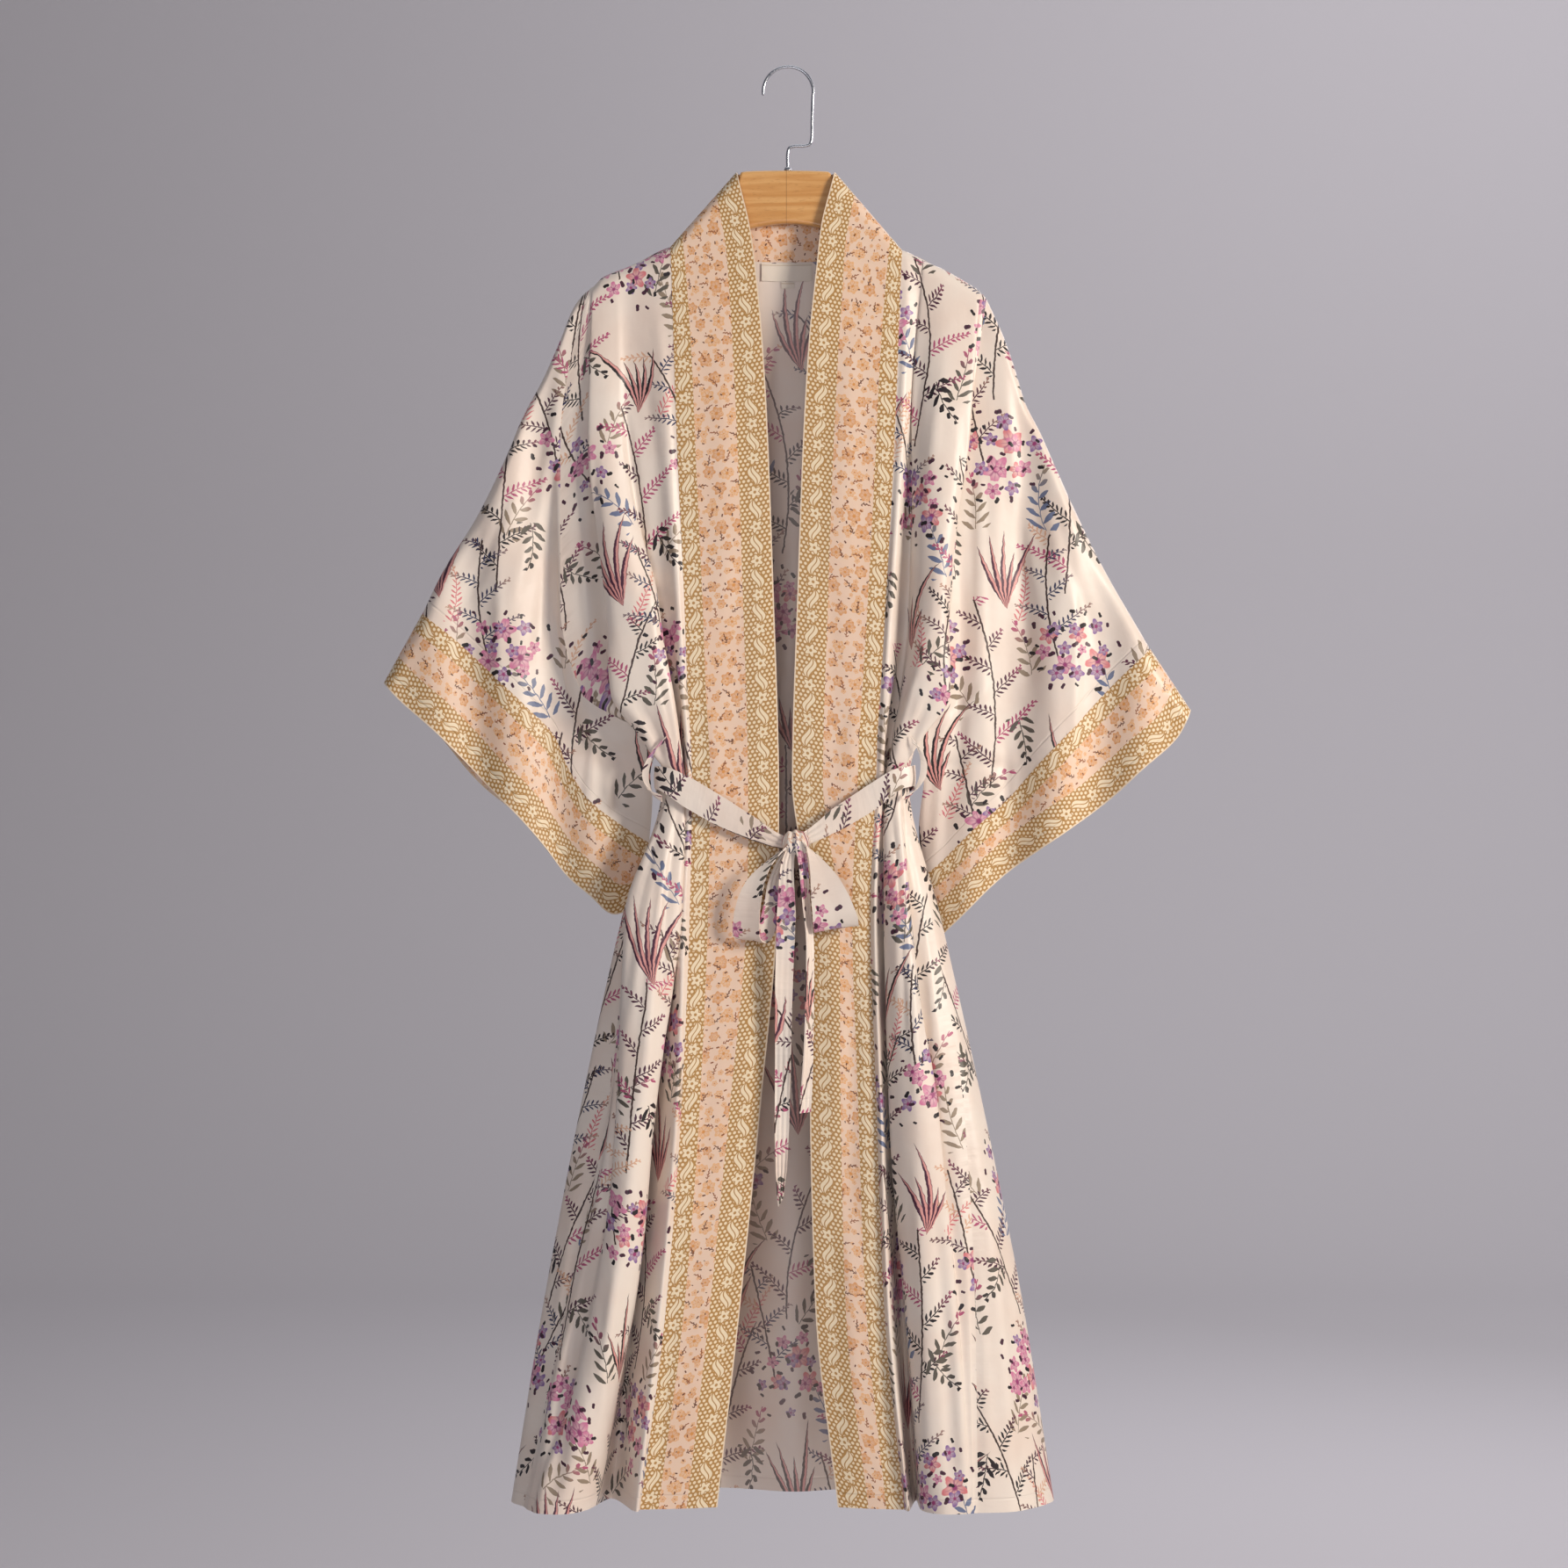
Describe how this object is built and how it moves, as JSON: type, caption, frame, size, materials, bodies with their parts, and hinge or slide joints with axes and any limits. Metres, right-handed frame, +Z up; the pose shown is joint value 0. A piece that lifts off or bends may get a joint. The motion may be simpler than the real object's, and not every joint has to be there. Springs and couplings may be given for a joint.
{
  "type": "kimono dress on hanger",
  "caption": "Open kimono dress in floral satin on a wooden hanger, with wide sleeves, contrast neckband and cuffs, and a self belt tied in a bow.",
  "frame": {"origin": "inside of the hook's top, where the hanger rests on a rail", "axes": "+Z up, the robe's front faces -Y, +X to the right as seen from the front"},
  "size_m": [0.7353, 0.1135, 1.3052],
  "materials": {
    "floral_satin": "soft satin sheen, printed",
    "border_satin": "soft satin sheen, printed",
    "woven_label": "matt woven",
    "varnished_wood": "clear varnish, semi-gloss",
    "steel_wire": "bright"
  },
  "bodies": {
    "root": {"front_left": "floral_satin", "front_right": "floral_satin", "back_body": "floral_satin", "neckband_left": "border_satin", "neckband_right": "border_satin", "sleeve_left": "floral_satin", "cuff_left": "border_satin", "sleeve_right": "floral_satin", "cuff_right": "border_satin", "belt_left": "floral_satin", "belt_right": "floral_satin", "belt_back": "floral_satin", "bow_knot": "floral_satin", "bow_loop_left": "floral_satin", "bow_loop_right": "floral_satin", "bow_tail_left": "floral_satin", "bow_tail_right": "floral_satin", "carrier_left": "floral_satin", "carrier_right": "floral_satin", "neck_label": "woven_label", "size_tab": "woven_label", "hanger_wood": "varnished_wood", "hanger_hook": "steel_wire"}
  },
  "joints": []
}
